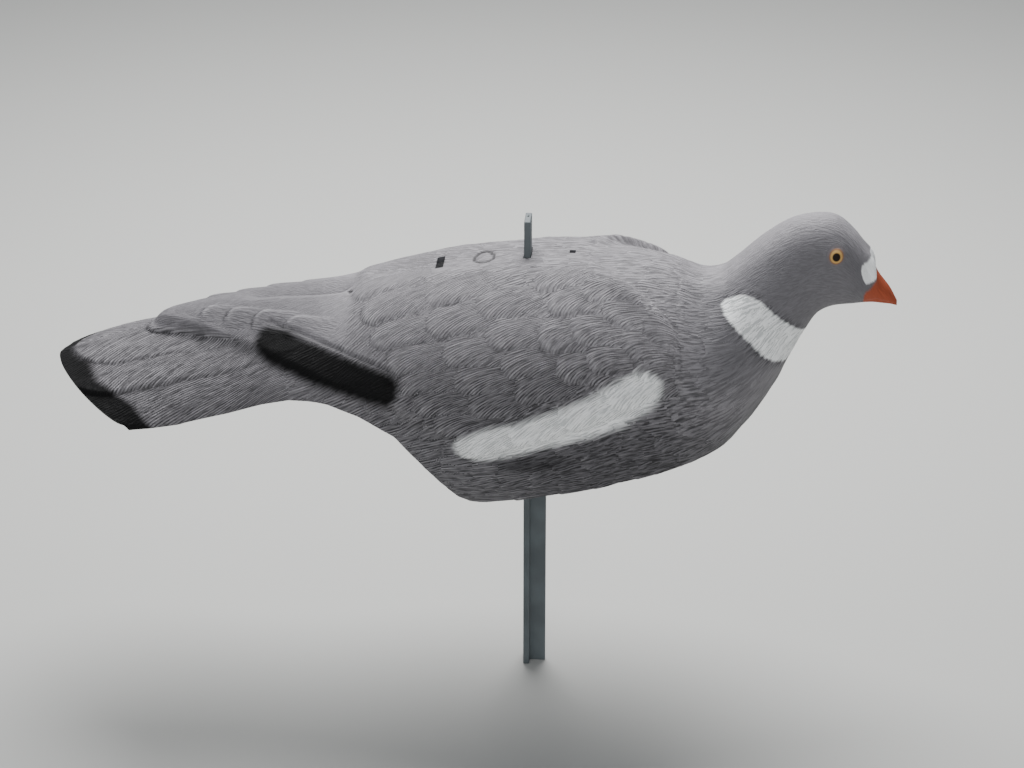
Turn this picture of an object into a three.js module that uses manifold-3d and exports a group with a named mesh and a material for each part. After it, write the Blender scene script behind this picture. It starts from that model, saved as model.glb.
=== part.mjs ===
// A wood pigeon decoy: a thin moulded shell, open underneath, on a stake pushed into the ground.
// Millimetres, +Z up, beak towards +X. The origin is at the stake's foot, where it meets the ground.
import * as THREE from "three";
import { mergeVertices } from "three/addons/utils/BufferGeometryUtils.js";
import Module from "manifold-3d";

// Driving dimensions
const LENGTH = 400; // beak tip to tail end
const BACK_HEIGHT = 223; // ground to the bird's back at the stake
const WALL = 1.8; // the shell's thickness
const GAP = 0.3; // between the stake's shoulder and the shell that rests on it

const FLANGE_WIDTH = 11.5; // the flat bar of the stake's T section, across the bird
const FLANGE_THICKNESS = 3;
const WEB_THICKNESS = 3; // the T's stem, along the bird
const WEB_DEPTH = 7.7;
const TAB_HEIGHT = 18; // how far the flange stands out of the back
const SLOT_CLEARANCE = 0.35; // round the flange in its slot
const SPARE_SLOT_SPACING = 41.5; // from the stake's slot back to the spare slot
const PIN_HOLE_SPACING = 21; // from the stake's slot forward to the pin hole
const PIN_HOLE_SIZE = 2.8;

// The free form is written for a bird of this length with its back at this height.
const FORM_LENGTH = 400;
const FORM_BACK = 223;
const UNIT = LENGTH / FORM_LENGTH;

// Sections from tail to beak: back x and z, belly x and z, half width,
// share of the height at which it is widest, and how square it is above and below.
const SECTIONS = [
  [-231, 163.5, -231, 112, 50, 0.5, 1.5, 2], // tail end
  [-205, 173.5, -205, 109, 50, 0.5, 1.5, 2],
  [-178, 181, -178, 113, 48, 0.5, 1.55, 2],
  [-150, 187, -150, 123, 47, 0.5, 1.55, 2],
  [-122, 194.5, -122, 130, 47, 0.5, 1.6, 2],
  [-94, 202.5, -94, 118, 51, 0.5, 1.7, 2], // rump
  [-66, 211.5, -66, 104, 56, 0.53, 1.9, 2],
  [-40, 218.6, -40, 97, 59.5, 0.53, 1.9, 2],
  [-14, 222.6, -14, 94, 61, 0.52, 1.9, 2], // stake
  [12, 225.3, 12, 95, 61, 0.5, 1.9, 2],
  [38, 225.2, 38, 100.5, 59, 0.5, 1.9, 2], // shoulders
  [61, 222.9, 63.4, 108, 53.5, 0.5, 1.8, 2],
  [77, 217.6, 84.9, 124.4, 46.5, 0.5, 1.8, 2],
  [87, 218.8, 101.8, 144.3, 38.5, 0.5, 1.85, 2], // neck
  [94, 224.2, 113.8, 163.4, 31.5, 0.5, 2, 2],
  [101.5, 232, 121.6, 180.6, 26.5, 0.5, 2, 2],
  [109.5, 239.2, 128, 193, 22, 0.5, 2, 2],
  [119, 245.5, 133, 200.4, 19, 0.5, 2, 2],
  [130, 248.5, 139.6, 203.8, 17.5, 0.5, 2, 2], // crown
  [140, 247.5, 147, 204.8, 16, 0.5, 2, 2],
  [149.3, 239.5, 153, 205.5, 13, 0.5, 2, 2], // forehead
  [155.3, 230.5, 158, 205.5, 9, 0.5, 2, 2],
  [159.5, 221, 162, 205, 6, 0.5, 2, 2], // root of the beak
  [165.5, 213, 166.5, 204.5, 3.8, 0.5, 2, 2],
  [169.3, 206.3, 169.3, 203.6, 1.2, 0.5, 2, 2], // tip of the beak
];
// The tail's corners are rounded off over its first sections, along its own slope.
const TAIL_ROUND = 41;
const TAIL_ROUND_SECTIONS = 4;
const TAIL_SLOPE = 0.33;
// The edge of the open underside in side view, x and z.
const RIM = [
  [-300, 128], [-231, 140], [-190, 149], [-165, 152.3], [-141, 158.3], [-125, 163.3], [-110, 166.8], [-95, 166.5],
  [-78, 161.8], [-61.5, 153.8], [-44.6, 134.5], [-32.8, 118.2], [-27, 115.5], [-20, 115.5], [34, 127.8], [75, 137],
  [110, 144],
];

// Carving, placed by p, the length along the back from the tail end, and a, the girth out from its middle.
const WING_OUTLINE = [
  [46, -6], [52, 6], [78, 20], [104, 34], [140, 58], [172, 77], [192, 92], [215, 109], [250, 104], [284, 89],
  [303, 70], [308, 52], [301, 35], [281, 18], [266, 6], [262, -6],
];
const WING_HEIGHT = 2.6;
const WING_EDGE = [6, 7]; // how far the wing's edge slopes, at its rear and at its front
// The folded flight feathers over the rump: p, height in the middle, half width.
const FLIGHT_RIDGE = [
  [40, 0, 7], [50, 1.4, 7], [60, 3.7, 13], [72, 5.2, 18], [85, 5.6, 24], [100, 5, 28], [114, 3.8, 32],
  [130, 1.6, 34], [143, 0.2, 36], [150, -0.8, 36], [158, 0.4, 36], [168, 0, 36],
];
const RIDGE_FALL = 1.4;
const WING_GAP = { from: 92, to: 160, ramp: 14, halfWidth: 7, depth: 3.4 };
// Feathers with a step at the tip: p and a of the tip, length, half width, turn in degrees, height.
const FLIGHT_FEATHERS = [
  [77, 8, 50, 6.5, 8, 1.2], [91, 11, 50, 6.5, 8, 1.2], [104, 17, 48, 6.5, 12, 1.2], [118, 23, 44, 6.5, 16, 1.1],
];
const COVERTS = [
  [152, 12, 40, 7, -8, 1.3], [156, 24, 40, 7, -4, 1.3], [160, 36, 42, 7, 4, 1.3], [166, 48, 42, 7, 10, 1.2],
  [176, 60, 40, 7, 14, 1.1], [184, 73, 38, 7, 18, 1], [198, 86, 34, 7, 22, 0.9],
];
const SCALLOPS = { rows: 4, rowStep: 26, columns: 5, columnStep: 15, p: 192, a: 20, length: 30, halfWidth: 8 };
const SCALLOP_HEIGHT = 0.7;
// Grooves as two ends, half width and depth.
const GROOVES = [
  [[10, 23], [100, 20], 3, 0.8], [[10, 43], [105, 40], 3, 0.8], // between the tail feathers
  [[113, 18], [173, 60], 3.5, 0.9], // over the dark bar of the wing
];
// Round swellings as p, a, radius and height.
const SWELLINGS = [
  [389, 22, 7, 1.3], // eye
  [419, 6, 8, 1.8], // cere
];

// Grid of the shell: columns and rows are multiples of INNER_STEP.
const INNER_STEP = 2;
const COLUMNS = 40;
const OPEN_ROWS = 56;
const CLOSED_ROWS = 38;
const INNER_END_ROW = 82; // the hollow ends in the head, ahead of it the beak is solid
const UNDERCUT = 6; // the hollow keeps below the lowest carving within this distance

const wasm = await Module();
wasm.setup();

function smoothstep(from, to, x) {
  return THREE.MathUtils.smoothstep(x, from, to);
}

// Straight lines through a table whose first column rises.
function lookup(table, column, x) {
  const next = table.findIndex((row) => row[0] > x);
  if (next === 0) return table[0][column];
  if (next < 0) return table[table.length - 1][column];
  const [low, high] = [table[next - 1], table[next]];
  return THREE.MathUtils.mapLinear(x, low[0], high[0], low[column], high[column]);
}

// The section at share s of the way from tail to beak, on a smooth curve through the sections.
function sectionAt(s) {
  const last = SECTIONS.length - 1;
  const index = Math.min(Math.floor(s * last), last - 1);
  const t = s * last - index;
  const [b, c] = [SECTIONS[index], SECTIONS[index + 1]];
  return b.map((value, k) => {
    const before = index > 0 ? SECTIONS[index - 1][k] : 2 * value - c[k];
    const after = index < last - 1 ? SECTIONS[index + 2][k] : 2 * c[k] - value;
    return 0.5 * (2 * value + (c[k] - before) * t + (2 * before - 5 * value + 4 * c[k] - after) * t ** 2
      + (3 * value - before - 3 * c[k] + after) * t ** 3);
  });
}

// A point of the smooth form: angle 0 is the middle of the back and pi the middle of the belly.
function formPoint(s, angle) {
  const [backX, backZ, bellyX, bellyZ, halfWidth, widest, squareAbove, squareBelow] = sectionAt(s);
  const middleX = backX + (bellyX - backX) * widest;
  const middleZ = backZ + (bellyZ - backZ) * widest;
  const above = Math.cos(angle) >= 0;
  const power = 2 / (above ? squareAbove : squareBelow);
  const rise = Math.abs(Math.cos(angle)) ** power;
  const side = Math.sign(angle) * Math.abs(Math.sin(angle)) ** power;
  const endX = above ? backX : bellyX;
  const endZ = above ? backZ : bellyZ;
  const share = Math.max(0, 1 - (s * (SECTIONS.length - 1)) / TAIL_ROUND_SECTIONS);
  const rest = Math.max(-0.5, Math.cos(angle));
  const back = TAIL_ROUND * share * (1 - rest) * (1 + rest / 2);
  return new THREE.Vector3(
    middleX + (endX - middleX) * rise + back,
    halfWidth * side,
    middleZ + (endZ - middleZ) * rise + TAIL_SLOPE * back,
  );
}

function formNormal(s, angle) {
  const step = 1e-3;
  const along = formPoint(Math.min(s + step, 1), angle).sub(formPoint(Math.max(s - step, 0), angle));
  const across = formPoint(s, angle + step).sub(formPoint(s, angle - step));
  return along.cross(across).normalize();
}

function belowRim(point) {
  return point.z < lookup(RIM, 1, point.x);
}

function bisect(low, high, test) {
  for (let i = 0; i < 40; i++) {
    const middle = (low + high) / 2;
    if (test(middle)) high = middle;
    else low = middle;
  }
  return high;
}

// The angle at which the section meets the rim.
function rimAngle(s) {
  return bisect(Math.PI * 0.3, Math.PI, (angle) => belowRim(formPoint(s, angle)));
}

// Distance in from a closed outline, negative outside it.
function insideDistance(outline, p, a) {
  let nearest = Infinity;
  let inside = false;
  outline.forEach(([x0, y0], i) => {
    const [x1, y1] = outline[(i + 1) % outline.length];
    const [dx, dy] = [x1 - x0, y1 - y0];
    const t = THREE.MathUtils.clamp(((p - x0) * dx + (a - y0) * dy) / (dx * dx + dy * dy), 0, 1);
    nearest = Math.min(nearest, Math.hypot(p - x0 - t * dx, a - y0 - t * dy));
    if (y0 > a !== y1 > a && p < x0 + (dx * (a - y0)) / dy) inside = !inside;
  });
  return inside ? nearest : -nearest;
}

// The wings' bodies, the hollow between them and the ridge of their flight feathers.
function broadRelief(p, a) {
  const edge = THREE.MathUtils.lerp(...WING_EDGE, smoothstep(150, 230, p));
  const hollow = smoothstep(150, 185, p) * (1 - smoothstep(262, 285, p)) * (1 - smoothstep(0, 16, a));
  const wing = WING_HEIGHT * smoothstep(0, edge, insideDistance(WING_OUTLINE, p, a)) * (1 - hollow);
  const fall = Math.min(a / lookup(FLIGHT_RIDGE, 2, p), 1) ** RIDGE_FALL;
  const ridge = lookup(FLIGHT_RIDGE, 1, p) * (1 - fall);
  const { from, to, ramp, halfWidth, depth } = WING_GAP;
  const gap = smoothstep(from, from + ramp, p) * (1 - smoothstep(to - ramp, to, p));
  return wing + ridge - depth * gap * (1 - smoothstep(0, halfWidth, a));
}

// One feather: a round tip that steps up, fading to nothing at its root.
function featherRelief([tipP, tipA, length, halfWidth, turn, height], p, a) {
  const angle = THREE.MathUtils.degToRad(turn);
  const along = (p - tipP) * Math.cos(angle) + (a - tipA) * Math.sin(angle);
  const across = (a - tipA) * Math.cos(angle) - (p - tipP) * Math.sin(angle);
  if (along <= 0 || along >= length || Math.abs(across) >= halfWidth) return 0;
  const tip = halfWidth - Math.hypot(Math.max(halfWidth - along, 0), across);
  return height * smoothstep(0, halfWidth / 2, tip) * (1 - along / length);
}

function scallopRelief(p, a) {
  const { rows, rowStep, columns, columnStep, length, halfWidth } = SCALLOPS;
  let height = 0;
  for (let row = 0; row < rows; row++) {
    for (let column = 0; column < columns; column++) {
      const tipP = SCALLOPS.p + row * rowStep - column * 2;
      const tipA = SCALLOPS.a + (column + (row % 2) / 2) * columnStep;
      height = Math.max(height, featherRelief([tipP, tipA, length, halfWidth, 4, SCALLOP_HEIGHT], p, a));
    }
  }
  return height;
}

function grooveDepth([[p0, a0], [p1, a1], halfWidth, depth], p, a) {
  const [dp, da] = [p1 - p0, a1 - a0];
  const t = THREE.MathUtils.clamp(((p - p0) * dp + (a - a0) * da) / (dp * dp + da * da), 0, 1);
  const distance = Math.hypot(p - p0 - t * dp, a - a0 - t * da);
  return depth * (1 - smoothstep(0, halfWidth, distance));
}

function swellingHeight([p0, a0, radius, height], p, a) {
  return height * (1 - smoothstep(0, radius, Math.hypot(p - p0, a - a0)));
}

function carving(p, a) {
  const feathers = [...FLIGHT_FEATHERS, ...COVERTS].map((feather) => featherRelief(feather, p, a));
  const grooves = GROOVES.map((groove) => grooveDepth(groove, p, a));
  const swellings = SWELLINGS.map((swelling) => swellingHeight(swelling, p, a));
  return broadRelief(p, a) + Math.max(...feathers, scallopRelief(p, a)) - Math.max(...grooves)
    + Math.max(...swellings);
}

// The hollow's side of the wall follows the wings too, below their lowest point nearby.
function hollowRelief(p, a) {
  const reach = [-UNDERCUT, 0, UNDERCUT];
  const nearby = reach.flatMap((dp) => reach.map((da) => broadRelief(p + dp, Math.abs(a + da))));
  return Math.min(...nearby);
}

function placed(point) {
  return new THREE.Vector3(point.x * UNIT, point.y * UNIT, BACK_HEIGHT + (point.z - FORM_BACK) * UNIT);
}

// Rows of outer and inner points, from the tail end to the tip of the beak.
function shellRows() {
  const closing = bisect(0.4, 0.7, (s) => !belowRim(formPoint(s, Math.PI)));
  const rows = [];
  let p = 0;
  let before = null;
  for (let i = 0; i <= OPEN_ROWS + CLOSED_ROWS; i++) {
    const open = i < OPEN_ROWS;
    const s = open ? (closing * i) / OPEN_ROWS : closing + ((1 - closing) * (i - OPEN_ROWS)) / CLOSED_ROWS;
    const reach = open ? rimAngle(s) : Math.PI;
    const crest = formPoint(s, 0);
    p += before ? crest.distanceTo(before) : 0;
    before = crest;
    rows.push(shellRow(s, reach, p));
  }
  return rows;
}

function shellRow(s, reach, p) {
  const angles = Array.from({ length: COLUMNS + 1 }, (_, j) => ((2 * j) / COLUMNS - 1) * reach);
  const points = angles.map((angle) => formPoint(s, angle));
  const middle = COLUMNS / 2;
  const girth = points.map(() => 0);
  for (let j = middle + 1; j <= COLUMNS; j++) {
    girth[j] = girth[j - 1] + points[j].distanceTo(points[j - 1]);
    girth[COLUMNS - j] = girth[j];
  }
  const normals = angles.map((angle) => formNormal(s, angle));
  const outer = points.map((point, j) => placed(point.clone().addScaledVector(normals[j], carving(p, girth[j]))));
  const inner = points.map((point, j) => {
    const carved = placed(point.clone().addScaledVector(normals[j], hollowRelief(p, girth[j])));
    return carved.addScaledVector(normals[j], -WALL);
  });
  return { outer, inner };
}

// A mesh under construction: points, and triangles by their indices.
class Surface {
  constructor() {
    this.points = [];
    this.triangles = [];
  }

  add(point) {
    return this.points.push(point) - 1;
  }

  triangle(a, b, c) {
    this.triangles.push(a, b, c);
  }

  // Quads between two rows of indices, facing out, or in when flipped.
  band(low, high, flip) {
    for (let j = 0; j + 1 < low.length; j++) {
      const [a, b, c, d] = [low[j], high[j], high[j + 1], low[j + 1]];
      this.triangle(a, flip ? c : b, flip ? b : c);
      this.triangle(a, flip ? d : c, flip ? c : d);
    }
  }

  // A strip between a fine chain and a coarse one that has every INNER_STEP-th point of it.
  edge(fine, coarse, flip) {
    coarse.slice(1).forEach((end, k) => {
      const start = coarse[k];
      const turn = Math.floor(INNER_STEP / 2);
      for (let n = 0; n < INNER_STEP; n++) {
        const [a, b] = [fine[k * INNER_STEP + n], fine[k * INNER_STEP + n + 1]];
        const apex = n > turn ? end : start;
        this.triangle(apex, flip ? b : a, flip ? a : b);
        if (n === turn) this.triangle(start, flip ? end : b, flip ? b : end);
      }
    });
  }

  // A fan over a closed ring.
  cap(ring, centre, flip) {
    for (let j = 0; j + 1 < ring.length; j++) {
      this.triangle(centre, ring[flip ? j + 1 : j], ring[flip ? j : j + 1]);
    }
  }

  geometry() {
    const positions = new Float32Array(this.points.flatMap((point) => point.toArray()));
    const geometry = new THREE.BufferGeometry();
    geometry.setAttribute("position", new THREE.BufferAttribute(positions, 3));
    geometry.setIndex(this.triangles);
    return geometry;
  }
}

// The points of a row or column that the coarser inner grid uses.
function everyStep(list) {
  return list.filter((_, index) => index % INNER_STEP === 0);
}

function middleOf(points) {
  const sum = points.reduce((total, point) => total.add(point), new THREE.Vector3());
  return sum.divideScalar(points.length);
}

function shellGeometry() {
  const rows = shellRows();
  const surface = new Surface();
  // Past the opening a row's two ends are the same point, on the middle of the belly.
  const indices = (points, closed) => {
    const row = points.slice(0, closed ? -1 : undefined).map((point) => surface.add(point));
    return closed ? [...row, row[0]] : row;
  };
  const outer = rows.map((row, i) => indices(row.outer, i >= OPEN_ROWS));
  const innerRows = everyStep(rows).filter((_, k) => k * INNER_STEP <= INNER_END_ROW);
  const inner = innerRows.map((row, k) => indices(everyStep(row.inner), k * INNER_STEP >= OPEN_ROWS));
  outer.slice(1).forEach((row, i) => surface.band(outer[i], row, false));
  inner.slice(1).forEach((row, k) => surface.band(inner[k], row, true));
  // The edge of the wall: along both sides of the opening and round the tail end.
  const openOuter = outer.slice(0, OPEN_ROWS + 1);
  const openInner = inner.slice(0, OPEN_ROWS / INNER_STEP + 1);
  surface.edge(openOuter.map((row) => row[0]), openInner.map((row) => row[0]), true);
  surface.edge(openOuter.map((row) => row.at(-1)), openInner.map((row) => row.at(-1)), false);
  surface.edge(outer[0], inner[0], false);
  const tip = surface.add(middleOf(rows.at(-1).outer));
  surface.cap(outer.at(-1), tip, true);
  const end = surface.add(middleOf(innerRows.at(-1).inner));
  surface.cap(inner.at(-1), end, false);
  return surface.geometry();
}

function solid(geometry) {
  const bare = new THREE.BufferGeometry();
  bare.setAttribute("position", geometry.getAttribute("position"));
  bare.setIndex(geometry.index);
  const merged = mergeVertices(bare, 1e-5);
  const mesh = new wasm.Mesh({
    numProp: 3,
    vertProperties: new Float32Array(merged.getAttribute("position").array),
    triVerts: new Uint32Array(merged.index.array),
  });
  return new wasm.Manifold(mesh);
}

function geometryOf(manifold) {
  const mesh = manifold.getMesh();
  const geometry = new THREE.BufferGeometry();
  geometry.setAttribute("position", new THREE.BufferAttribute(mesh.vertProperties, 3));
  geometry.setIndex(new THREE.BufferAttribute(mesh.triVerts, 1));
  const faceted = geometry.toNonIndexed();
  faceted.computeVertexNormals();
  return faceted;
}

function box(x, sizeX, sizeY, bottom, top) {
  const geometry = new THREE.BoxGeometry(sizeX, sizeY, top - bottom);
  geometry.translate(x, 0, (bottom + top) / 2);
  return solid(geometry);
}

// Lowest and highest point of the shell over a rectangle on the middle of the back.
function shellOver(shell, x, sizeX, sizeY) {
  const column = box(x, sizeX, sizeY, BACK_HEIGHT - 40 * UNIT, BACK_HEIGHT + 40 * UNIT);
  const geometry = geometryOf(shell.intersect(column));
  geometry.computeBoundingBox();
  return { lowest: geometry.boundingBox.min.z, highest: geometry.boundingBox.max.z };
}

// The stake's T section is centred on the origin, flange behind and web ahead.
const STAKE_DEPTH = FLANGE_THICKNESS + WEB_DEPTH;
const FLANGE_X = (FLANGE_THICKNESS - STAKE_DEPTH) / 2;
const WEB_X = (STAKE_DEPTH - WEB_DEPTH) / 2;

function slotIn(shell, x, sizeX, sizeY) {
  const { lowest, highest } = shellOver(shell, x, sizeX, sizeY);
  return shell.subtract(box(x, sizeX, sizeY, lowest - WALL, highest + WALL));
}

function shellWithSlots(plain) {
  const slotX = FLANGE_THICKNESS + 2 * SLOT_CLEARANCE;
  const slotY = FLANGE_WIDTH + 2 * SLOT_CLEARANCE;
  const staked = slotIn(plain, FLANGE_X, slotX, slotY);
  const spare = slotIn(staked, FLANGE_X - SPARE_SLOT_SPACING, slotX, slotY);
  return slotIn(spare, FLANGE_X + PIN_HOLE_SPACING, PIN_HOLE_SIZE, PIN_HOLE_SIZE);
}

// The T from the ground to just under the shell, and its flange on through the slot.
function stakeGeometry(plain) {
  const shoulder = shellOver(plain, WEB_X, WEB_DEPTH, WEB_THICKNESS).lowest - GAP;
  const back = shellOver(plain, FLANGE_X, FLANGE_THICKNESS, FLANGE_WIDTH).highest;
  const left = -STAKE_DEPTH / 2;
  const outline = [
    [left, -FLANGE_WIDTH / 2],
    [left + FLANGE_THICKNESS, -FLANGE_WIDTH / 2],
    [left + FLANGE_THICKNESS, -WEB_THICKNESS / 2],
    [left + STAKE_DEPTH, -WEB_THICKNESS / 2],
    [left + STAKE_DEPTH, WEB_THICKNESS / 2],
    [left + FLANGE_THICKNESS, WEB_THICKNESS / 2],
    [left + FLANGE_THICKNESS, FLANGE_WIDTH / 2],
    [left, FLANGE_WIDTH / 2],
  ];
  const section = new THREE.Shape(outline.map(([x, y]) => new THREE.Vector2(x, y)));
  const stem = new THREE.ExtrudeGeometry(section, { depth: shoulder, bevelEnabled: false });
  const flange = box(FLANGE_X, FLANGE_THICKNESS, FLANGE_WIDTH, 0, back + TAB_HEIGHT);
  return geometryOf(solid(stem).add(flange));
}

function named(name, geometry, colour, roughness) {
  const material = new THREE.MeshStandardMaterial({ color: colour, roughness, metalness: 0 });
  const mesh = new THREE.Mesh(geometry, material);
  mesh.name = name;
  return mesh;
}

const plainShell = solid(shellGeometry());
const decoy = new THREE.Group();
decoy.add(named("shell", geometryOf(shellWithSlots(plainShell)), 0x8a8589, 0.75));
decoy.add(named("stake", stakeGeometry(plainShell), 0x3a3c42, 0.6));

export default decoy;
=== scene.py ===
"""A wood pigeon decoy: a thin moulded and painted shell on a plastic stake, on a pale studio floor.

Lengths in the tables are millimetres of the real decoy, and meshes are metres in the frame's own axes:
beak towards +X, +Z up, the stake's foot at the origin. Places on the bird's surface are given as p,
the length along the middle of the back from the tail end, and a, the girth out from that middle line.
"""
import math
from functools import partialmethod
from itertools import product

import bmesh
import bpy
import numpy as np
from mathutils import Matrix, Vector


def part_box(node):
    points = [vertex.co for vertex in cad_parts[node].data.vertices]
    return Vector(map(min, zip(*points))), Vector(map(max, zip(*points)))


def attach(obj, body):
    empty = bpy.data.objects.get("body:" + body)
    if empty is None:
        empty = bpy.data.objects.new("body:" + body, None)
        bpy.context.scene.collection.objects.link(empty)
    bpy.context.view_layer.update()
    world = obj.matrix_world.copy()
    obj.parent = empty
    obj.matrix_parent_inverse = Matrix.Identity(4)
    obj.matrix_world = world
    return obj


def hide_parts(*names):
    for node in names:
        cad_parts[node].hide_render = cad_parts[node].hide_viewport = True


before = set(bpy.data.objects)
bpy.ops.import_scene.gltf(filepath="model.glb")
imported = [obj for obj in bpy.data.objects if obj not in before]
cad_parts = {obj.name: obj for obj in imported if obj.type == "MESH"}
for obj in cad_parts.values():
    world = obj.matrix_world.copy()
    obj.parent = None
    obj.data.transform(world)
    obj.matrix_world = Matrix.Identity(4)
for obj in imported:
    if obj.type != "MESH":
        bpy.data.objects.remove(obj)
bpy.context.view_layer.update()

MM = 0.001
SEED = 7

# The form.

WALL = 1.8

# Sections from tail to beak: back x and z, belly x and z, half width,
# share of the height at which it is widest, and how square it is above (2 is round, as it is below).
SECTIONS = np.array([
    [-231, 163.5, -231, 112, 50, 0.5, 1.5],  # tail end
    [-205, 173.5, -205, 109, 50, 0.5, 1.5],
    [-178, 181, -178, 113, 48, 0.5, 1.55],
    [-150, 187, -150, 123, 47, 0.5, 1.55],
    [-122, 194.5, -122, 130, 47, 0.5, 1.6],
    [-94, 202.5, -94, 118, 51, 0.5, 1.7],  # rump
    [-66, 211.5, -66, 104, 56, 0.53, 1.9],
    [-40, 218.6, -40, 97, 59.5, 0.53, 1.9],
    [-14, 222.6, -14, 94, 61, 0.52, 1.9],  # stake
    [12, 225.3, 12, 95, 61, 0.5, 1.9],
    [38, 225.2, 38, 100.5, 59, 0.5, 1.9],  # shoulders
    [61, 222.9, 63.4, 108, 53.5, 0.5, 1.8],
    [77, 217.6, 84.9, 124.4, 46.5, 0.5, 1.8],
    [87, 218.8, 101.8, 144.3, 38.5, 0.5, 1.85],  # neck
    [94, 224.2, 113.8, 163.4, 31.5, 0.5, 2],
    [101.5, 232, 121.6, 180.6, 26.5, 0.5, 2],
    [109.5, 239.2, 128, 193, 22, 0.5, 2],
    [119, 245.5, 133, 200.4, 19, 0.5, 2],
    [130, 248.5, 139.6, 203.8, 17.5, 0.5, 2],  # crown
    [140, 247.5, 147, 204.8, 16, 0.5, 2],
    [149.3, 239.5, 153, 205.5, 13, 0.5, 2],  # forehead
    [155.3, 230.5, 158, 205.5, 9, 0.5, 2],
    [159.5, 221, 162, 205, 6, 0.5, 2],  # root of the beak
    [165.5, 213, 166.5, 204.5, 3.8, 0.5, 2],
    [169.3, 206.3, 169.3, 203.6, 1.2, 0.5, 2],  # tip of the beak
])
# The tail's corners are rounded off over its first sections, along its own slope.
TAIL_ROUND = 41
TAIL_ROUND_SECTIONS = 4
TAIL_SLOPE = 0.33
# The edge of the open underside in side view, x and z.
RIM = np.array([
    [-300, 128], [-231, 140], [-190, 149], [-165, 152.3], [-141, 158.3], [-125, 163.3], [-110, 166.8],
    [-95, 166.5], [-78, 161.8], [-61.5, 153.8], [-44.6, 134.5], [-32.8, 118.2], [-27, 115.5], [-20, 115.5],
    [34, 127.8], [75, 137], [110, 144],
])
# Between these shares of the way from tail to beak the underside closes, and the crown is highest.
CLOSING_BETWEEN = (0.4, 0.7)
CROWN_BETWEEN = (0.6, 0.9)
# Rows are closer on the head, for the eye and the beak. The inner wall has every seventh row, OPEN_ROWS
# among them, and every fourth column.
OPEN_ROWS = 252
CLOSED_ROWS = 112
COLUMNS = 248
INNER_ROW_STEP = 7
INNER_COLUMN_STEP = 4
HOLLOW_END = 0.87  # share of the way to the beak at which the hollow ends
UNDERCUT = 6  # the hollow keeps below the lowest carving within this distance

# The carving.

WING_OUTLINE = [
    (46, -6), (52, 6), (78, 20), (104, 34), (140, 58), (172, 77), (192, 92), (215, 109), (250, 104),
    (284, 89), (303, 70), (308, 52), (301, 35), (281, 18), (266, 6), (262, -6),
]
WING_HEIGHT = 2.6
WING_EDGE = (6, 7)  # how far the wing's edge slopes, at its rear and at its front
WING_EDGE_ALONG = (150, 230)
BACK_HOLLOW = dict(start=(150, 185), end=(262, 285), width=16)  # between the wings
# The folded flight feathers over the rump: p, height in the middle, half width.
FLIGHT_RIDGE = np.array([
    [40, 0, 7], [50, 1.4, 7], [60, 3.7, 13], [72, 5.2, 18], [85, 5.6, 24], [100, 5, 28], [114, 3.8, 32],
    [130, 1.6, 34], [143, 0.2, 36], [150, -0.8, 36], [158, 0.4, 36], [168, 0, 36],
])
RIDGE_FALL = 1.5
RIDGE_BLEND = (78, 92)  # where the ridge's foot turns from a crease to a soft hollow
WING_GAP = dict(start=92, end=156, ramp=14, widest=145, half_width=9.5, depth=5.8, least=0.4)
SHOULDER_LINE = [
    (262, 18), (272, 19.5), (281, 22.7), (288.5, 27), (294.5, 30.8), (299.5, 35), (304, 40), (307, 46),
    (308.3, 52), (308, 62),
]
SHOULDER = [*SHOULDER_LINE, (298, 76), (280, 84), (240, 60), (235, 18)]
SHOULDER_START = (255, 285)
SHOULDER_RIM = (2.4, 14)  # the height of the wing's front edge and how far it fades into the wing
SHOULDER_STEP = 0.7  # half the width of the step down from it
WING_CREASE = [
    (112, 19), (120, 23.5), (128, 28), (134, 32), (140, 36), (147, 40.5), (155, 46), (163, 51), (171, 56),
    (177, 59.5),
]
CREASE_CUT = (1.5, 0.9)  # half width and depth
# Round the eye and on the face. The eye is placed by x and z, the rest by p and a.
EYE = (139.3, 234.8)
EYE_BALL = (3.5, 0.9)  # radius and height
EYE_LID = (4.1, 0.7, 0.3)  # radius, half width and height
EYE_SWELLING = (7, 1.1)
PUPIL = 1.95
BARE_EYE = (4.8, 7)  # the strands fade in between these distances from the eye's middle,
SMOOTH_EYE = (5.4, 4.4)  # and the paint's strokes end between these
CERE_SWELLING = (415, 8, 9, 2)  # p, a, radius and height
MOUTH_LINE = [(400, 42), (410, 33), (420, 21), (430, 13), (437, 8)]
MOUTH_CUT = (1.2, 0.35)  # half width and depth
# Marks on the back: the moulding's ring, as x, y, size in x and y, half width and depth, and a nick.
RING_MARK = (-24.5, 0, 9, 12.5, 1.9, 1.0)
BACK_ABOVE = 200  # the ring is only on the back, above this height
NICK = [(149.3, 7), (151, 9.5)]
NICK_CUT = (1.4, 1.6)  # half width and depth
FAR = 99

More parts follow.
